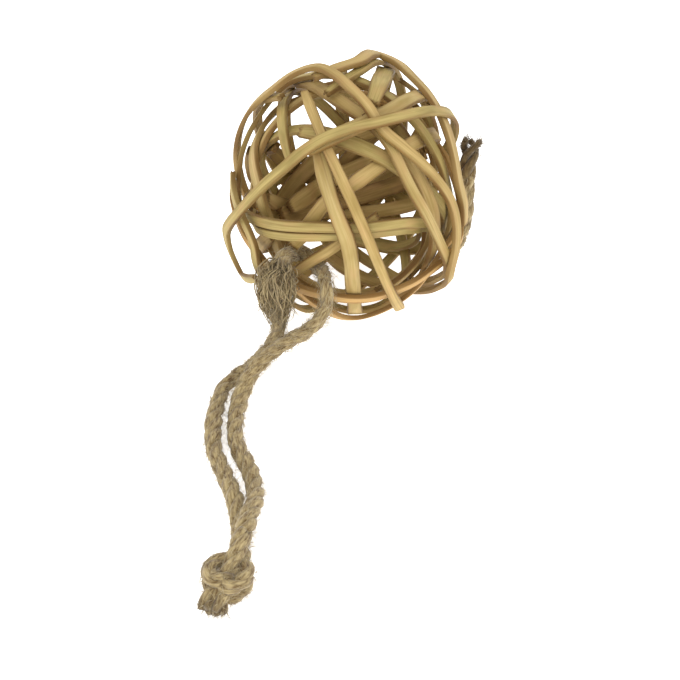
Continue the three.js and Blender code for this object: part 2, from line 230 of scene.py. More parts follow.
@dataclass
class Surface:
    """A mesh as arrays: points, faces, the faces' UV corners and a value per point by name."""

    points: Array
    quads: Array
    triangles: Array
    quad_uv: Array
    triangle_uv: Array
    marks: dict[str, Array] = field(default_factory=dict)

    @staticmethod
    def tubes(rings: Array, uv: Array, marks: dict[str, Array] | None = None) -> "Surface":
        """Closes stacks of rings into capped tubes.

        Every ring is joined to the next by a band of quads, and a fan round its middle closes each
        end. Faces are turned outwards by the sign of the volume they hold.

        Args:
            rings: (tubes, stations, corners, 3) points.
            uv: (tubes, stations, corners + 1, 2), one more corner so that the seam has both ends.
            marks: (tubes, stations, corners) values by name.

        Returns:
            The surface of all tubes.
        """
        count, stations, corners = rings.shape[:3]
        index = np.arange(count * stations * corners).reshape(count, stations, corners)
        beside = np.roll(index, -1, axis=2)
        hubs = rings[:, [0, -1]].mean(axis=2)
        points = np.concatenate([rings.reshape(-1, 3), hubs.reshape(-1, 3)])
        quads = np.stack([index[:, :-1], beside[:, :-1], beside[:, 1:], index[:, 1:]], axis=-1)
        quad_uv = np.stack(
            [uv[:, :-1, :-1], uv[:, :-1, 1:], uv[:, 1:, 1:], uv[:, 1:, :-1]], axis=-2)
        hub = index.size + np.arange(count * 2).reshape(count, 2, 1) + np.zeros((1, 1, corners), int)
        first = np.stack([hub[:, 0], beside[:, 0], index[:, 0]], axis=-1)
        last = np.stack([hub[:, 1], index[:, -1], beside[:, -1]], axis=-1)
        triangles = np.concatenate([first, last])
        centre_uv = uv.mean(axis=2, keepdims=True) + np.zeros_like(uv[:, :, :-1])
        first_uv = np.stack([centre_uv[:, 0], uv[:, 0, 1:], uv[:, 0, :-1]], axis=-2)
        last_uv = np.stack([centre_uv[:, -1], uv[:, -1, :-1], uv[:, -1, 1:]], axis=-2)
        triangle_uv = np.concatenate([first_uv, last_uv])
        flat_marks = {
            name: np.concatenate([value.reshape(-1), value[:, [0, -1]].mean(axis=2).reshape(-1)])
            for name, value in (marks or {}).items()}
        surface = Surface(points, quads.reshape(-1, 4), triangles.reshape(-1, 3),
                          quad_uv.reshape(-1, 4, 2), triangle_uv.reshape(-1, 3, 2), flat_marks)
        return surface if surface.volume() > 0 else surface.turned()

    @staticmethod
    def joined(parts: list["Surface"]) -> "Surface":
        """Several surfaces as one, with the marks that all of them have.

        Args:
            parts: the surfaces.

        Returns:
            One surface.
        """
        starts = np.cumsum([0] + [len(part.points) for part in parts[:-1]])
        names = set.intersection(*(set(part.marks) for part in parts))
        return Surface(
            np.concatenate([part.points for part in parts]),
            np.concatenate([part.quads + start for part, start in zip(parts, starts)]),
            np.concatenate([part.triangles + start for part, start in zip(parts, starts)]),
            np.concatenate([part.quad_uv for part in parts]),
            np.concatenate([part.triangle_uv for part in parts]),
            {name: np.concatenate([part.marks[name] for part in parts]) for name in names})

    def volume(self) -> float:
        """Volume inside the faces, as a sum of the tetrahedra they make with the origin.

        Returns:
            Cubic metres, below zero where the faces look inwards.
        """
        halves = np.concatenate(
            [self.quads[:, [0, 1, 2]], self.quads[:, [0, 2, 3]], self.triangles])
        a, b, c = (self.points[halves[:, i]] for i in range(3))
        return float(np.einsum("ij,ij->", a, np.cross(b, c)) / 6)

    def turned(self) -> "Surface":
        """The same surface with its faces turned over."""
        return Surface(self.points, self.quads[:, ::-1], self.triangles[:, ::-1],
                       self.quad_uv[:, ::-1], self.triangle_uv[:, ::-1], self.marks)

    def piece(self, name: str, material: bpy.types.Material, slot: str) -> bpy.types.Object:
        """Makes the surface an object that rides on the body.

        Args:
            name: the object's name.
            material: its material.
            slot: not used.

        Returns:
            The new object.
        """
        mesh = bpy.data.meshes.new(name)
        mesh.from_pydata(self.points.tolist(), [], self.quads.tolist() + self.triangles.tolist())
        uv = np.concatenate([self.quad_uv.reshape(-1, 2), self.triangle_uv.reshape(-1, 2)])
        mesh.uv_layers.new(name=UV_NAME).data.foreach_set("uv", uv.astype(np.float32).ravel())
        for mark, value in self.marks.items():
            layer = mesh.attributes.new(mark, "FLOAT", "POINT")
            layer.data.foreach_set("value", value.astype(np.float32))
        mesh.polygons.foreach_set("use_smooth", np.ones(len(mesh.polygons), bool))
        mesh.materials.append(material)
        made = bpy.data.objects.new(name, mesh)
        bpy.context.scene.collection.objects.link(made)
        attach(made, BODY)
        LOG.info("%s: %d faces", name, len(mesh.polygons))
        return made


@dataclass(frozen=True)
class CaneFinish:
    """Split cane, cut flat from the stem and left bare to dry.

    The eye gets a dull straw surface with faint long streaks, brown cut ends, brown cut edges with
    painted shade along them, creases darkened with painted shade, a face towards the ball's inside
    darkened with painted shade, and patches that are greener or redder along each strip.
    """

    name: str
    pale: str
    deep: str
    stain: str
    # rim: brown of the cut ends and edges, also used as painted shade along edges and in creases;
    # shade: painted shade on the face towards the ball's inside
    rim: str = "#6b4a1b"
    shade: str = "#5f4214"
    streak_mm: float = 0.45
    streak_run_mm: float = 15.0
    stain_mm: float = 3.0
    stain_run_mm: float = 12.0
    blush: str = "#b6905e"
    blush_mm: float = 2.4
    blush_run_mm: float = 7.0

    @functools.cache
    def material(self) -> bpy.types.Material:
        """The cane's material, on the strip's own UV map, which is in millimetres.

        Returns:
            The material, the same one at each call.
        """
        made = bpy.data.materials.new(self.name)
        made.use_nodes = True
        tree = made.node_tree
        tree.nodes.clear()
        place = add_node(tree, "ShaderNodeUVMap", uv_map=UV_NAME).outputs[0]
        # Fibres of the stem: about half a millimetre wide, and many times as long
        streak = grain(tree, place, self.streak_run_mm, self.streak_mm, 3.0, 0.6)
        fibre = mix(tree, ramp(tree, streak, 0.2, 0.75), linear(self.deep), linear(self.pale))
        # Drying stains: a few millimetres across, drawn out along the strip
        stain = grain(tree, place, self.stain_run_mm, self.stain_mm, 2.0, 0.5)
        stained = mix(tree, ramp(tree, stain, 0.42, 0.7, 0.75), fibre, linear(self.stain))
        # Sun-reddened patches, smaller than the stains and set apart from them
        blush = grain(tree, place, self.blush_run_mm, self.blush_mm, 2.0, 0.55, shift=(31, 17, 0))
        blushed = mix(tree, ramp(tree, blush, 0.5, 0.72, 0.42), stained, linear(self.blush))
        # Brown cut ends and edges, with painted shade along the edges where strips lie on each other
        # and painted shade in the creases
        brown_and_shade_mask = add_node(tree, "ShaderNodeAttribute", attribute_name="crease").outputs["Fac"]
        brown_and_shaded = mix(tree, brown_and_shade_mask, blushed, linear(self.rim))
        # Painted shade: the face towards the ball's inside is darkened, as that side lies in shade
        pith = add_node(tree, "ShaderNodeAttribute", attribute_name="pith").outputs["Fac"]
        colour = mix(tree, pith, brown_and_shaded, linear(self.shade))
        roughness = add_node(tree, "ShaderNodeMapRange", {
            "Value": streak, "To Min": 0.52, "To Max": 0.74}).outputs[0]
        relief = add_node(tree, "ShaderNodeBump", {
            "Height": streak, "Strength": 0.18, "Distance": 0.1 * MM}).outputs[0]
        shader = add_node(tree, "ShaderNodeBsdfPrincipled", {
            "Base Color": colour, "Roughness": roughness, "Normal": relief, "IOR": 1.46,
            "Specular IOR Level": 0.35})
        add_node(tree, "ShaderNodeOutputMaterial", {"Surface": shader.outputs[0]})
        return made


@dataclass(frozen=True)
class JuteFinish:
    """Jute, spun coarse and twisted into twine, unbleached.

    The eye gets a matt brown-grey surface of slanting fibres, mottled, with painted shade between
    the plies.
    """

    name: str
    pale: str
    deep: str
    # The colour of painted shade between the plies and inside the tuft
    hollow: str
    fibre_mm: float = 0.32
    fibre_run_mm: float = 2.6
    blotch_mm: float = 1.1
    blotch_run_mm: float = 1.8

    @functools.cache
    def material(self) -> bpy.types.Material:
        """The jute's material, on the twine's own UV map, which is in millimetres.

        Returns:
            The material, the same one at each call.
        """
        made = bpy.data.materials.new(self.name)
        made.use_nodes = True
        tree = made.node_tree
        tree.nodes.clear()
        place = add_node(tree, "ShaderNodeUVMap", uv_map=UV_NAME).outputs[0]
        # Spun fibres lie a third of a millimetre apart, coarser than real ones so that they show
        fibre = grain(tree, place, self.fibre_run_mm, self.fibre_mm, 3.0, 0.65)
        # Knots of short fibre and dust make blotches a millimetre or two across
        blotch = grain(tree, place, self.blotch_run_mm, self.blotch_mm, 2.0, 0.6)
        mixed = add_node(tree, "ShaderNodeMath", {0: fibre, 1: blotch}, operation="ADD").outputs[0]
        spun = mix(tree, ramp(tree, mixed, 0.74, 1.26), linear(self.deep), linear(self.pale))
        # Painted shade between the plies, inside the tuft and on opened plies
        inside = add_node(tree, "ShaderNodeAttribute", attribute_name="hollow").outputs["Fac"]
        colour = mix(tree, inside, spun, linear(self.hollow))
        relief = add_node(tree, "ShaderNodeBump", {
            "Height": fibre, "Strength": 0.8, "Distance": 0.2 * MM}).outputs[0]
        shader = add_node(tree, "ShaderNodeBsdfPrincipled", {
            "Base Color": colour, "Normal": relief, "Roughness": 0.92, "IOR": 1.5,
            "Specular IOR Level": 0.2, "Sheen Weight": 0.25, "Sheen Roughness": 0.6})
        add_node(tree, "ShaderNodeOutputMaterial", {"Surface": shader.outputs[0]})
        return made


class Tone(Enum):
    """How a strip has dried, except the umber tone: a darker copy of the cane used as painted shade
    on strips at the back of the ball.
    """

    STRAW = CaneFinish("split cane, straw", "#c2ab75", "#a78f53", "#998145")
    HONEY = CaneFinish("split cane, honey", "#c4a970", "#a58a4d", "#967c41")
    OLIVE = CaneFinish("split cane, olive", "#bba669", "#988448", "#88763f")
    RUSSET = CaneFinish("split cane, russet", "#cca667", "#b08a4e", "#9d763f")
    # The umber tone is painted shade: a darker copy of the cane for strips at the back of the ball
    SHADED_UMBER = CaneFinish("split cane, shaded_umber", "#a78a51", "#7e6333", "#685027")


# The third colour of each jute is its painted shade between the plies
JUTE = JuteFinish("jute twine", "#b9a577", "#664f2b", "#48351b")
JUTE_TIP = JuteFinish("jute twine, weathered tip", "#917a4c", "#5f4b2a", "#392a15")
JUTE_FIBRE = JuteFinish("jute, stray fibres", "#cfbf98", "#8b754c", "#77613c")


@dataclass
class Strip:
    """One flat strip of the weave, along the CAD strand that it stands for."""

    strand: str
    tone: Tone
    seed: int
    station_mm: float = 0.8
    face_points: int = 13
    thickness_mm: float = 1.02
    corner: float = 0.07
    outer_narrowing: float = 0.08
    crown: float = 0.06
    width_change: float = 0.07
    thickness_change: float = 0.1
    lean_deg: float = 5.0
    creases: int = 2
    crease_depth_mm: float = 0.07
    crease_width: float = 0.1
    crease_wander: float = 0.28
    torn_mm: float = 0.5
    # Shares of brown and painted shade along the edges, of painted shade in the creases, of brown at
    # the torn ends, and of painted shade on the face towards the ball's inside
    edge_brown_and_shade: float = 0.85
    crease_shade: float = 0.35
    end_wear: float = 0.8
    pith: float = 0.06

    @property
    def node(self) -> str:
        """The CAD node's name."""
        return "strand_" + self.strand

    def cad_rings(self) -> Array:
        """The four-cornered rings of the CAD strand, in order from one end.

        The strand's two end faces have its shortest triangles. From one of them, each next ring is
        all the corners that share an edge with the ring before it.

        Returns:
            (rings, 4, 3) points.
        """
        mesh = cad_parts[self.node].data
        places = np.empty(len(mesh.vertices) * 3, np.float32)
        mesh.vertices.foreach_get("co", places)
        mesh.calc_loop_triangles()
        faces = np.empty(len(mesh.loop_triangles) * 3, np.int32)
        mesh.loop_triangles.foreach_get("vertices", faces)
        points, merged = np.unique(np.round(places.reshape(-1, 3), 7), axis=0, return_inverse=True)
        faces = merged.ravel()[faces].reshape(-1, 3)
        sides = points[faces] - points[np.roll(faces, 1, axis=1)]
        ends = faces[np.argsort(np.linalg.norm(sides, axis=-1).max(axis=1))[:4]]
        shared = np.isin(ends, ends[0]).sum(axis=1)
        linked = np.zeros((len(points), len(points)), bool)
        linked[faces, np.roll(faces, 1, axis=1)] = True
        linked |= linked.T
        ring = np.isin(np.arange(len(points)), ends[shared >= 2])
        seen = ring.copy()
        rings = []
        while ring.any():
            rings.append(points[ring])
            ring = linked[ring].any(axis=0) & ~seen
            seen |= ring
        odd = [len(corners) for corners in rings if len(corners) != 4]
        if odd:
            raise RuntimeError(f"{self.node} has rings of {odd} corners")
        return np.array(rings, float)

    def section(self) -> tuple[Array, Array]:
        """The strip's outline, a flat bar with eased corners, as across and up in -1 to 1.

        Returns:
            Across and up, over the outer face, down one edge, under the inner face, up the other.
        """
        face = np.linspace(1 - self.corner, self.corner - 1, self.face_points)
        edge = np.array([0.6, -0.6])
        across = np.concatenate([face, [-1, -1], -face, [1, 1]])
        up = np.concatenate([np.ones_like(face), edge, -np.ones_like(face), -edge])
        return across, up

    def creasing(self, run: Array, across: Array) -> Array:
        """How deep in a crease each point lies, where creases wander along the strip and fade.

        Args:
            run: distance along the strip in millimetres.
            across: the section's places across it, -1 to 1.

        Returns:
            (stations, corners) depths, about 0 to 1.
        """
        depths = np.zeros((len(run), len(across)))
        for number in range(self.creases):
            lane = ((number + 0.5) * 2 / self.creases - 1
                    + self.crease_wander * wobble(run, self.seed + 10 + number, 30))
            depth = np.clip(0.45 + wobble(run, self.seed + 20 + number, 26), 0, 1)
            away = (across[None] - lane[:, None]) / self.crease_width
            depths += depth[:, None] * np.exp(-away ** 2)
        return depths

    def surface(self) -> Surface:
        """The strip's skin.

        The section is carried along a smooth curve through the CAD rings' middles, as wide as they
        are, narrower on its outer side. Width, thickness and lean change slowly along it, a few
        creases wander along its outer face, and its ends are torn a little unevenly.

        Returns:
            The surface, with each point's share of brown and painted shade on its edges, of painted
            shade in its creases, of brown at its ends, and of painted shade on the face towards the
            ball's inside.
        """
        rings = self.cad_rings()
        middles = rings.mean(axis=1)
        path = smooth_path(middles, self.station_mm * MM)
        run = run_along(path) / MM
        heading = unit(np.gradient(path, axis=0))
        side = unit(np.cross(unit(path - BALL_MIDDLE), heading))
        outward = np.cross(heading, side)
        cad_side = unit(np.cross(unit(middles - BALL_MIDDLE), np.gradient(middles, axis=0)))
        corner_reach = np.abs(np.einsum("rcx,rx->rc", rings - middles[:, None], cad_side))
        cad_run = run_along(middles)
        half = np.interp(run, cad_run / cad_run[-1] * run[-1], corner_reach.max(axis=1) / MM)
        half = half * (1 + self.width_change * wobble(run, self.seed, 22))
        thick = self.thickness_mm / 2 * (1 + self.thickness_change * wobble(run, self.seed + 1, 16))
        lean = np.radians(self.lean_deg) * wobble(run, self.seed + 2, 35)[:, None]
        side, outward = (side * np.cos(lean) + outward * np.sin(lean),
                         outward * np.cos(lean) - side * np.sin(lean))

        across, up = self.section()
        corners = len(across)
        top = (up > 0.9).astype(float)[None]
        crease = self.creasing(run, across) * top
        x = half[:, None] * across[None] * (1 - self.outer_narrowing / 2 * (1 + up[None]))
        y = thick[:, None] * (up[None] + self.crown * top * (1 - across[None] ** 2))
        y = y - self.crease_depth_mm * crease
        slip = np.zeros_like(x)
        slip[[0, -1]] = np.random.default_rng(self.seed).uniform(
            -self.torn_mm, self.torn_mm, (2, corners))
        skin = path[:, None] + MM * (x[..., None] * side[:, None] + y[..., None] * outward[:, None]
                                     + slip[..., None] * heading[:, None])
        skin[..., 2] = np.maximum(skin[..., 2], 0)

        # Brown cut edges with painted shade along them where strips lie on each other, painted shade in
        # the creases, and brown torn ends
        patchy = (0.8 + 0.35 * wobble(run, self.seed + 3, 18))[:, None]
        browned_and_shaded_edges = self.edge_brown_and_shade * np.abs(across[None]) ** 6 * patchy
        brown_and_shaded = np.clip(browned_and_shaded_edges + self.crease_shade * crease, 0, 0.9)
        brown_and_shaded[[0, -1]] = self.end_wear
        # Painted shade on the face towards the ball's inside
        pith = np.clip(-up, 0, 1)[None] * self.pith + np.zeros_like(x)
        # Each strip reads its own part of the grain, far from the next strip's
        round_mm = np.linspace(0, 2 * (half.mean() * 2 + self.thickness_mm), corners + 1)
        uv = np.stack(np.broadcast_arrays(
            run[:, None] + 97.0 * self.seed, round_mm[None] + 13.0 * self.seed), axis=-1)
        return Surface.tubes(skin[None], uv[None], {"crease": brown_and_shaded[None], "pith": pith[None]})

    def build(self) -> bpy.types.Object:
        """Builds the strip and lets it stand for its strand.

        Returns:
            The strip.
        """
        slot = "warm_strip" if self.tone is Tone.RUSSET else "strip"
        made = self.surface().piece("strip_" + self.strand, self.tone.value.material(), slot)
        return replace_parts(made, self.node)


@dataclass
class Weave:
    """The ball: every strip with the tone that it has dried to, or with the umber painted shade."""

    tones: dict[str, Tone]

    def build(self) -> list[bpy.types.Object]:
        """Builds all strips, each with a seed from its place in the list."""
        return [Strip(strand, tone, 11 * number + 5).build()
                for number, (strand, tone) in enumerate(self.tones.items())]


@dataclass
class Twine:
    """Three-ply twine along a route in millimetres."""

    route: Route
    seed: int
    diameter_mm: float = 3.8
    lay_mm: float = 11.5
    station_mm: float = 0.5
    plies: int = 3
    corners: int = 12
    ply_radius: float = 0.31
    ply_offset: float = 0.185
    fibre_slant: float = 0.7
    open_start_mm: float = 0.0
    open_end_mm: float = 0.0
    open_spread_mm: float = 1.6
    thin_places: list[tuple[Point, float]] = field(default_factory=list)
    thin_run_mm: float = 16.0

    @functools.cached_property
    def path(self) -> Array:
        """The twine's middle line, in metres."""
        return smooth_path(np.array(self.route, float) * MM, self.station_mm * MM)

    @functools.cached_property
    def run(self) -> Array:
        """Distance along the middle line, in millimetres."""
        return run_along(self.path) / MM

    def station_near(self, place: Point) -> int:
        """The station that is nearest to a place in millimetres."""
        return int(np.argmin(np.linalg.norm(self.path - np.array(place) * MM, axis=1)))

    def girth(self) -> Array:
        """The twine's thickness along it, less round its thin places.

        Returns:
            A share of the diameter for each station.
        """
        share = np.ones_like(self.run)
        for place, loss in self.thin_places:
            away = np.abs(self.run - self.run[self.station_near(place)]) / self.thin_run_mm
            share = share - loss * np.exp(-away ** 2)
        return share * (1 + 0.05 * wobble(self.run, self.seed + 5, 13))

    def opening(self) -> Array:
        """How far the plies have come apart, rising towards an open end.

        Returns:
            0 to 1 for each station.
        """
        left = np.clip(1 - self.run / max(self.open_start_mm, 1e-6), 0, 1)
        right = np.clip(1 - (self.run[-1] - self.run) / max(self.open_end_mm, 1e-6), 0, 1)
        return np.maximum(left, right) ** 1.5

    def rings(self) -> tuple[Array, Array, Array]:
        """The plies' rings.

        Each ply is a round, slightly lumpy cord that winds about the middle line, a third of a turn
        from the next, once for each lay. Where the twine is open, it swings outwards and thins.

        Returns:
            (plies, stations, corners, 3) points, their UV in millimetres and each point's painted
            shade, more on the side towards the twine's middle and on opened plies.
        """
        heading, side, other = carried_frame(self.path)
        ply = np.arange(self.plies)[:, None]
        angle = 2 * np.pi * (self.run[None] / self.lay_mm + ply / self.plies)
        angle = angle + 0.25 * wobble(self.run, self.seed, 19)[None]
        out = np.cos(angle)[..., None] * side[None] + np.sin(angle)[..., None] * other[None]
        loose = self.opening()[None]
        thick = self.diameter_mm * self.girth()[None]
        uneven = 1 + 0.1 * wobble(self.run[None] + 40 * ply, self.seed + 1, 6)
        ply_radius = thick * self.ply_radius * (1 - 0.45 * loose) * uneven
        offset = thick * self.ply_offset + self.open_spread_mm * loose
        middle = self.path[None] + MM * offset[..., None] * out
        ahead = unit(np.gradient(middle, axis=1))
        out = unit(out - ahead * np.einsum("psx,psx->ps", out, ahead)[..., None])
        beside = np.cross(ahead, out)
        turn = 2 * np.pi * np.arange(self.corners) / self.corners
        lump = 1 + 0.06 * np.sin(
            5 * turn[None, None] + 1.9 * self.run[None, :, None] + 2 * ply[..., None])
        radius = MM * ply_radius[..., None] * lump
        spoke = np.cos(turn)[:, None] * out[:, :, None] + np.sin(turn)[:, None] * beside[:, :, None]
        rings = middle[:, :, None] + radius[..., None] * spoke
        # Painted shade: each ply is darker on its side towards the twine's middle, as if shaded by the
        # other plies; where the plies open apart they are darker all round
        hollow = 0.65 * np.clip(0.5 - np.cos(turn), 0, 1)[None, None] ** 1.2
        hollow = np.maximum(hollow, 0.6 * np.sqrt(loose)[..., None]) + np.zeros(rings.shape[:3])
        girth = np.linspace(0, np.pi * self.diameter_mm * 0.52, self.corners + 1)
        uv = np.stack(np.broadcast_arrays(
            self.run[None, :, None] + 53.0 * ply[..., None],
            girth[None, None] + self.fibre_slant * self.run[None, :, None] + 17.0 * self.seed),
            axis=-1)
        return rings, uv, hollow

    def surface(self, first: int = 0, last: int | None = None) -> Surface:
        """The plies between two stations.

        Args:
            first: the first station.
            last: the last one, or none for the twine's end.

        Returns:
            Their skin.
        """
        stop = None if last is None else last + 1
        rings, uv, hollow = (value[:, first:stop] for value in self.rings())
        return Surface.tubes(clear_of_floor(rings), uv, {"hollow": hollow})


def clear_of_floor(points: Array) -> Array:
    """Points with those below the floor lifted onto it."""
    return np.concatenate([points[..., :2], np.maximum(points[..., 2:], FLOOR_GAP)], axis=-1)


@dataclass
class Fibres:
    """Loose jute fibres that stand out of a twine."""

    count: int
    shortest_mm: float
    longest_mm: float
    seed: int
    thickness_mm: float = 0.1
    stand: float = 0.7
    droop: float = 0.25
    stray: float = 0.2
    one_way: bool = False
    stations: int = 6

    def surface(self, path: Array, radius_mm: float) -> Surface:
        """Fibres along a path.

        Each fibre starts at a random place on the twine's surface, leaves it partly outwards and
        partly along the twine, bends in a parabola and thins towards its tip.

        Args:
            path: the twine's middle line, or the stretch of it that has fibres.
            radius_mm: how far from that line they start.

        Returns:
            Three-sided tapering tubes.
        """
        rng = np.random.default_rng(self.seed)
        heading, side, other = carried_frame(path)
        station = rng.integers(0, len(path), self.count)
        angle = rng.uniform(0, 2 * np.pi, self.count)[:, None]
        out = np.cos(angle) * side[station] + np.sin(angle) * other[station]
        way = np.ones(self.count) if self.one_way else rng.choice([-1.0, 1.0], self.count)
        leave = unit(out * rng.uniform(0.2, 1, self.count)[:, None] * self.stand
                     + heading[station] * (way * rng.uniform(0.5, 1.2, self.count))[:, None]
                     + self.stray * rng.normal(size=(self.count, 3)))
        bend = unit(rng.normal(size=(self.count, 3))) * rng.uniform(0.1, 0.45, self.count)[:, None]
        bend = bend + np.array([0, 0, -self.droop])
        length = MM * rng.uniform(self.shortest_mm, self.longest_mm, self.count)[:, None, None]
        t = np.linspace(0, 1, self.stations)[None, :, None]
        root = path[station] + MM * radius_mm * out
        line = root[:, None] + length * (leave[:, None] * t + bend[:, None] * t ** 2)
        across = unit(np.cross(leave, rng.normal(size=(self.count, 3))))
        upright = np.cross(leave, across)
        turn = 2 * np.pi * np.arange(3) / 3
        taper = (1 - 0.75 * t) * rng.uniform(0.6, 1.3, self.count)[:, None, None]
        spoke = (np.cos(turn)[:, None] * across[:, None, None]
                 + np.sin(turn)[:, None] * upright[:, None, None])
        rings = line[:, :, None] + MM * self.thickness_mm / 2 * taper[..., None] * spoke
        run = (length * t / MM)[..., 0]
        uv = np.stack(np.broadcast_arrays(
            run[..., None] + 5.0 * station[:, None, None],
            0.1 * np.arange(4)[None, None] + angle[..., None]), axis=-1)
        return Surface.tubes(clear_of_floor(rings), uv, {"hollow": np.zeros(rings.shape[:3])})


@dataclass
class Locks:
    """Locks of frayed fibre that run along a twine and hide it."""

    count: int
    shortest_mm: float
    longest_mm: float
    seed: int
    thickness_mm: float = 0.3
    bulge_mm: float = 2.4
    start_mm: float = 4.5
    stations: int = 14
    corners: int = 4

    def surface(self, path: Array, radius_mm: float) -> Surface:
        """Locks along the first stretch of a path.

        Each lock starts near the path's start, swells away from it early, wanders a little round
        it, and comes in again to lie on the twine at its thin tip, so that all make a spindle.

        Args:
            path: the twine's middle line from where the locks start.
            radius_mm: the twine's radius.

        Returns:
            Tapering tubes.
        """
        rng = np.random.default_rng(self.seed)
        draw = functools.partial(rng.uniform, size=(self.count, 1))
        heading, side, other = carried_frame(path)
        run = run_along(path) / MM
        t = np.linspace(0, 1, self.stations)[None]
        length = draw(self.shortest_mm, self.longest_mm)
        place = np.clip(draw(0, self.start_mm) + length * t, 0, run[-1])
        angle = draw(0, 2 * np.pi) + draw(-1.1, 1.1) * t
        angle = angle + 0.3 * np.sin(2 * np.pi * (t * draw(0.6, 1.8) + draw(0, 1)))
        swell = np.sin(np.pi * t ** 0.75)
        radius = radius_mm * draw(0.6, 1.0) + self.bulge_mm * draw(0, 1) ** 0.7 * swell
        middle, across, upright, ahead = (
            np.stack([np.interp(place, run, line[:, axis]) for axis in range(3)], axis=-1)
            for line in (path, side, other, heading))
        out = np.cos(angle)[..., None] * across + np.sin(angle)[..., None] * upright
        line = middle + MM * radius[..., None] * out
        beside = np.cross(unit(ahead), out)
        turn = 2 * np.pi * np.arange(self.corners) / self.corners
        thin = MM * self.thickness_mm / 2 * (1 - 0.8 * t ** 2) * draw(0.5, 1.3)
        rings = line[:, :, None] + thin[..., None, None] * (
            np.cos(turn)[:, None] * out[:, :, None] + np.sin(turn)[:, None] * beside[:, :, None])
        girth = np.pi * self.thickness_mm * np.arange(self.corners + 1) / self.corners
        own_grain = 3.0 * np.arange(self.count)[:, None, None]
        uv = np.stack(np.broadcast_arrays(place[..., None], girth[None, None] + own_grain), axis=-1)
        # Painted shade: locks that lie nearer the twine are darker, as if shaded by the locks round
        # them
        inner = np.clip(1.3 - radius / radius_mm, 0, 0.8)[..., None] + np.zeros(rings.shape[:3])
        return Surface.tubes(clear_of_floor(rings), uv, {"hollow": inner})


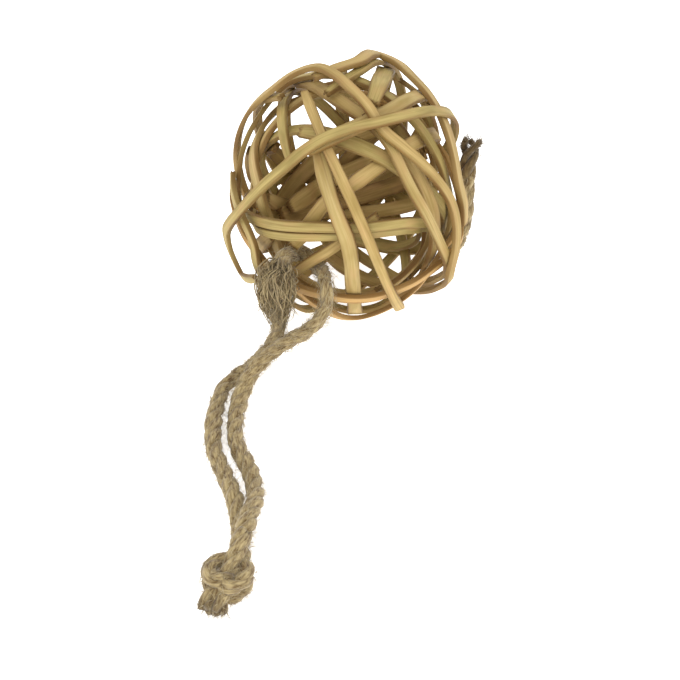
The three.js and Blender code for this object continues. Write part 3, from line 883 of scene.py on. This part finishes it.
@dataclass
class HangingLoop:
    """The loop: a turn behind one strip, two legs along the floor and the knot that joins them."""

    left_leg: Route
    bight: Route
    right_leg: Route
    through: list[Route]
    turns: list[tuple[Point, float, float]]
    diameter_mm: float = 3.8
    knot_diameter_mm: float = 3.4
    cut_end_mm: float = 2.5
    cut_spread_mm: float = 0.25

    def turn_route(self, centre: Point, radius: float, tilt: float) -> Route:
        """A turn of twine round the knot.

        A circle that lies flat, tilted by an angle about the x axis, a little more than once round,
        whose two ends draw in towards the middle.

        Args:
            centre: the turn's middle in millimetres.
            radius: its radius in millimetres.
            tilt: its tilt in degrees.

        Returns:
            The turn's route in millimetres.
        """
        points = 26
        angle = np.radians(np.linspace(-130, 265, points))
        near_end = np.clip(np.abs(np.linspace(-1, 1, points)) - 0.8, 0, 1) / 0.2
        tuck = radius * (1 - 0.55 * near_end)
        lean = np.radians(tilt)
        onward = np.array([0, np.cos(lean), np.sin(lean)])
        upward = np.array([0, -np.sin(lean), np.cos(lean)])
        line = (np.array(centre) + (tuck * np.cos(angle))[:, None] * np.array([1, 0, 0])
                + (tuck * np.sin(angle))[:, None] * onward
                + np.linspace(-0.4, 0.4, points)[:, None] * upward)
        return [tuple(point) for point in line]

    def build(self) -> None:
        """Builds the loop in one run from tail to tail, cut where its CAD nodes meet, and its knot."""
        route = [*reversed(self.through[0]), *reversed(self.left_leg), *self.bight,
                 *self.right_leg, *self.through[1]]
        # The twine is pulled thin where it bends down the ball and where it comes to the floor
        twine = Twine(route, 71, self.diameter_mm, open_start_mm=self.cut_end_mm,
                      open_end_mm=self.cut_end_mm, open_spread_mm=self.cut_spread_mm,
                      thin_places=[(self.right_leg[2], 0.2), (self.left_leg[7], 0.12)])
        knot_left, start, end, knot_right = (
            twine.station_near(place)
            for place in (self.left_leg[-1], self.bight[0], self.bight[-1], self.right_leg[-1]))
        jute, fibre = JUTE.material(), JUTE_FIBRE.material()
        knot = self.knot(twine, knot_left, knot_right)
        for node, first, last, leaves, way, seed in (
                ("twine_leg_left", knot_left, start, self.left_leg[0], -1, 4),
                ("twine_leg_right", end, knot_right, self.right_leg[0], 1, 5)):
            path = twine.path[first:last + 1]
            leg = twine.surface(first, last).piece(node + "_plies", jute, "twine")
            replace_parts(leg, node)
            self.fuzz(path, 1500, 240, seed).piece(node + "_fibres", fibre, "twine")
        turn = twine.surface(start, end).piece("twine_bight_plies", jute, "twine")
        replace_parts(turn, "twine_bight")
        self.fuzz(twine.path[start:end], 450, 40, 9).piece("twine_bight_fibres", fibre, "twine")
        self.tuft(twine.path[start + 6::-1])

    def tuft(self, frayed: Array) -> None:
        """The frayed top of the left leg: a spindle of locks and the short fibres on it.

        Args:
            frayed: the twine's middle line from a little above the leg's top downwards.
        """
        radius = self.diameter_mm / 2
        parts = [Locks(260, 7.0, 13.0, seed=21).surface(frayed, radius),
                 Locks(140, 4.0, 10.0, seed=22, bulge_mm=3.2).surface(frayed, radius),
                 Fibres(500, 1.0, 3.6, seed=23, stand=0.5, stray=0.5, one_way=True).surface(
                     frayed[2:22], radius + 1.2)]
        Surface.joined(parts).piece("twine_leg_left_tuft", JUTE.material(), "twine")

    def fuzz(self, path: Array, short: int, long: int, seed: int) -> Surface:
        """The twine's fuzz: short fibres that lie across its plies and a few longer hairs.

        Args:
            path: the stretch of twine that has it.
            short: how many short fibres.
            long: how many hairs.
            seed: picks them.

        Returns:
            Their skin.
        """
        near = self.diameter_mm * 0.44
        return Surface.joined([
            Fibres(short, 0.8, 2.6, seed, stand=0.45, stray=0.45).surface(path, near),
            Fibres(long, 2.0, 4.5, seed + 100, thickness_mm=0.07, stand=0.75).surface(path, near)])

    def knot(self, twine: Twine, left: int, right: int) -> bpy.types.Object:
        """The overhand knot: both ends of the twine, through two turns to cut, frayed tails.

        Args:
            twine: the whole loop.
            left: the station where the left leg goes into the knot.
            right: the same of the right leg.

        Returns:
            The knot's plies.
        """
        turns = [Twine(self.turn_route(*turn), 90 + i, self.knot_diameter_mm)
                 for i, turn in enumerate(self.turns)]
        parts = [twine.surface(0, left), twine.surface(right), *(turn.surface() for turn in turns)]
        made = Surface.joined(parts).piece("twine_knot_plies", JUTE.material(), "twine")
        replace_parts(made, "twine_knot")
        ends = [twine.path[left::-1], twine.path[right:]]
        hairs = [self.fuzz(path, 320, 50, 30 + i)
                 for i, path in enumerate([*ends, *(turn.path for turn in turns)])]
        hairs += [Fibres(60, 0.6, 1.5, seed=40 + i, stand=0.4, droop=0.1, one_way=True).surface(
            path[-6:], 0.9) for i, path in enumerate(ends)]
        Surface.joined(hairs).piece("twine_knot_fibres", JUTE_FIBRE.material(), "twine")
        return made


@dataclass
class LooseEnd:
    """The twine's other end, out of the ball and up its side, frayed and weathered at the tip."""

    route: Route
    open_mm: float = 9.0
    spread_mm: float = 1.2

    def build(self) -> None:
        """Builds the end's clean stretch, its dark opened plies and the brush of fibres on each."""
        twine = Twine(self.route, 61, open_end_mm=self.open_mm, open_spread_mm=self.spread_mm)
        clean = int(np.searchsorted(twine.run, twine.run[-1] - self.open_mm))
        made = twine.surface(0, clean).piece("twine_end_plies", JUTE.material(), "twine")
        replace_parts(made, "twine_end")
        twine.surface(clean).piece("twine_end_tip", JUTE_TIP.material(), "twine")
        ply_lines = twine.rings()[0].mean(axis=2)
        brush = [Fibres(110, 1.0, 2.6, seed=52 + i, thickness_mm=0.15, stand=0.5, droop=0.0,
                        one_way=True).surface(line[-9:], 0.5) for i, line in enumerate(ply_lines)]
        Surface.joined(brush).piece("twine_end_brush", JUTE_TIP.material(), "twine")
        Fibres(260, 1.0, 3.4, seed=51, stand=0.4).surface(twine.path[:clean], 1.65).piece(
            "twine_end_fibres", JUTE_FIBRE.material(), "twine")


@dataclass
class Studio:
    """A white floor, soft light from all round and above, and the camera."""

    elevation_deg: float = 35.0
    distance: float = 0.316
    lens_mm: float = 74.6
    sensor_mm: float = 36.0
    aim_right_mm: float = -1.5
    aim_up_mm: float = -33.25
    floor_half: float = 1.5
    floor_glow: float = 0.78
    sky: float = 1.07
    key_place: Point = (-0.3, -0.35, 0.75)
    key_size: float = 0.5
    key_watts: float = 1.45
    fill_place: Point = (0.5, -0.4, 0.4)
    fill_size: float = 0.6
    fill_watts: float = 0.6

    def floor(self) -> None:
        """A large square of white card under the object."""
        half = self.floor_half
        corners = np.array([[-half, -half, 0], [half, -half, 0], [half, half, 0], [-half, half, 0]])
        mesh = bpy.data.meshes.new("floor")
        mesh.from_pydata((corners - [0, 0, 0.02 * MM]).tolist(), [], [[0, 1, 2, 3]])
        card = bpy.data.materials.new("white card")
        card.use_nodes = True
        card.node_tree.nodes.clear()
        shader = add_node(card.node_tree, "ShaderNodeBsdfPrincipled", {
            "Base Color": linear("#fbfbfa"), "Roughness": 0.9, "Specular IOR Level": 0.0,
            "Emission Color": linear("#ffffff"), "Emission Strength": self.floor_glow})
        add_node(card.node_tree, "ShaderNodeOutputMaterial", {"Surface": shader.outputs[0]})
        mesh.materials.append(card)
        made = bpy.data.objects.new("floor", mesh)
        bpy.context.scene.collection.objects.link(made)

    def lamp(self, name: str, place: Point, size: float, watts: float) -> None:
        """A square soft light that faces the ball.

        Args:
            name: its name.
            place: where it stands, in metres.
            size: its side in metres.
            watts: its power.
        """
        light = bpy.data.lights.new(name, "AREA")
        light.size = size
        light.energy = watts
        made = bpy.data.objects.new(name, light)
        made.location = place
        aim = Vector(BALL_MIDDLE) - Vector(place)
        made.rotation_euler = aim.to_track_quat("-Z", "Y").to_euler()
        bpy.context.scene.collection.objects.link(made)

    def light(self) -> None:
        """White surroundings, a key light above on the left and a weak fill on the right."""
        world = bpy.data.worlds.new("white surroundings")
        world.use_nodes = True
        world.node_tree.nodes.clear()
        glow = add_node(world.node_tree, "ShaderNodeBackground", {
            "Color": (1, 1, 1, 1), "Strength": self.sky})
        add_node(world.node_tree, "ShaderNodeOutputWorld", {"Surface": glow.outputs[0]})
        bpy.context.scene.world = world
        self.lamp("key", self.key_place, self.key_size, self.key_watts)
        self.lamp("fill", self.fill_place, self.fill_size, self.fill_watts)

    def camera(self) -> None:
        """The photograph's view: straight down the ball's face, aimed between ball and knot."""
        tilt = np.radians(self.elevation_deg)
        back = np.array([0, -np.cos(tilt), np.sin(tilt)])
        up = np.array([0, np.sin(tilt), np.cos(tilt)])
        eye = Vector(BALL_MIDDLE + self.distance * back)
        aim = self.aim_right_mm * np.array([1, 0, 0]) + self.aim_up_mm * up
        target = Vector(BALL_MIDDLE + MM * aim)
        lens = bpy.data.cameras.new("camera")
        lens.lens = self.lens_mm
        lens.sensor_width = self.sensor_mm
        lens.clip_start = 0.01
        made = bpy.data.objects.new("camera", lens)
        made.location = eye
        made.rotation_euler = (target - eye).to_track_quat("-Z", "Y").to_euler()
        bpy.context.scene.collection.objects.link(made)
        bpy.context.scene.camera = made

    def build(self) -> None:
        """Sets the whole stage, with plain colour management so that white stays white."""
        self.floor()
        self.light()
        self.camera()
        bpy.context.scene.view_settings.view_transform = "Standard"


# The umber strips at the back carry painted shade: their darker tone stands for the shade inside the
# ball
STRIP_TONES = {
    "back_band_upper": Tone.HONEY, "back_band_middle": Tone.SHADED_UMBER, "back_band_lower": Tone.HONEY,
    "back_slant_left": Tone.HONEY, "back_slant_middle": Tone.SHADED_UMBER, "back_shoulder": Tone.SHADED_UMBER,
    "left_hip": Tone.HONEY, "left_shoulder_bar": Tone.OLIVE, "right_upright": Tone.HONEY,
    "right_rim_inner": Tone.HONEY, "loop_strand": Tone.HONEY, "crown_upright": Tone.OLIVE,
    "left_upright": Tone.STRAW, "right_shoulder_band": Tone.HONEY, "waist_lower": Tone.OLIVE,
    "waist_upper": Tone.OLIVE, "left_shoulder_hook": Tone.OLIVE, "right_chest_band": Tone.OLIVE,
    "shoulder_band": Tone.HONEY, "middle_upright": Tone.STRAW, "left_rim": Tone.OLIVE,
    "crown_band_front": Tone.OLIVE, "right_rim": Tone.HONEY, "foot_ring_lower": Tone.RUSSET,
    "foot_ring_upper": Tone.RUSSET, "long_slant": Tone.HONEY, "left_slant": Tone.OLIVE,
    "right_slant": Tone.STRAW, "crown_to_right_foot": Tone.HONEY, "front_arch_double": Tone.STRAW,
    "front_arch": Tone.OLIVE,
}

# The twine's routes in millimetres, through the same points as its solids
LEFT_LEG = [
    (-14.5, -27, 26.3), (-14.8, -28.6, 24.6), (-14.7, -29.2, 20.9), (-14.4, -29.4, 16.8),
    (-14.8, -28.8, 12.8), (-16, -28.6, 9.4), (-18.1, -29.5, 6.4), (-20.8, -30.6, 4),
    (-24.2, -31.9, 2.2), (-26.7, -35.6, 1.95), (-27.6, -40.6, 1.95), (-28, -47.6, 1.95),
    (-27.3, -53.7, 1.95), (-25.2, -59.8, 1.95), (-22.8, -65.8, 1.95), (-21.3, -71.8, 1.95),
    (-20.4, -77.6, 1.95), (-20.2, -79.9, 1.95),
]
BIGHT = [
    (-14.4, -26.6, 26.6), (-14.1, -25.2, 27.8), (-13.5, -22.6, 27.9), (-12, -19.6, 26.6),
    (-9.9, -17.7, 25.5), (-7.6, -18.2, 24), (-5.8, -21.2, 23.8), (-5.1, -23.7, 25),
    (-4.8, -25.3, 25.4), (-4.6, -26.9, 25.1),
]
RIGHT_LEG = [
    (-4.5, -27.4, 25), (-4.3, -29.1, 24.6), (-4.3, -30.4, 21.4), (-5.6, -31.4, 18.8),
    (-8, -32.1, 16.1), (-11.3, -32.6, 14.1), (-14.5, -33.2, 11.9), (-17.6, -33.9, 9.4),
    (-20.3, -35, 6.5), (-21.9, -36.4, 3.7), (-23, -40, 2.1), (-23.4, -45.6, 1.95),
    (-23.1, -50.5, 1.95), (-21.7, -55.2, 1.95), (-19.6, -59.8, 1.95), (-18.4, -64.7, 2.4),
    (-17.9, -69.5, 4), (-18.5, -74.1, 5.6), (-19.1, -78.1, 6.2), (-19.5, -80.1, 6.2),
]
KNOT_THROUGH = [
    [(-20.1, -82.4, 2), (-20.9, -85.2, 2.3), (-22.6, -88.8, 2.8), (-24.8, -91.8, 2.3),
     (-25.9, -95.2, 1.75)],
    [(-20, -82.6, 6.2), (-20.8, -85.6, 5.6), (-22, -89, 4.4), (-23.2, -92.2, 2.6),
     (-23.4, -95.9, 1.75)],
]
# Each turn's middle and radius in millimetres, and its tilt in degrees
KNOT_TURNS = [((-22.1, -88.4, 1.85), 3.3, 0.0), ((-22, -88.4, 4.3), 3.5, -8.0)]
LOOSE_END = [
    (23.4, 0.4, 11.4), (25.6, 2, 14.4), (26.9, 4.4, 18), (27.4, 7.2, 21.8), (27.6, 10, 25.6),
    (27.9, 12.6, 29.6), (28.5, 14.8, 33.2),
]


def main() -> None:
    """Sets the stage, then builds the loop, the loose end and the weave."""
    logging.basicConfig(level=logging.INFO)
    Studio().build()
    HangingLoop(LEFT_LEG, BIGHT, RIGHT_LEG, KNOT_THROUGH, KNOT_TURNS).build()
    LooseEnd(LOOSE_END).build()
    Weave(STRIP_TONES).build()


if __name__ == "__main__":
    main()
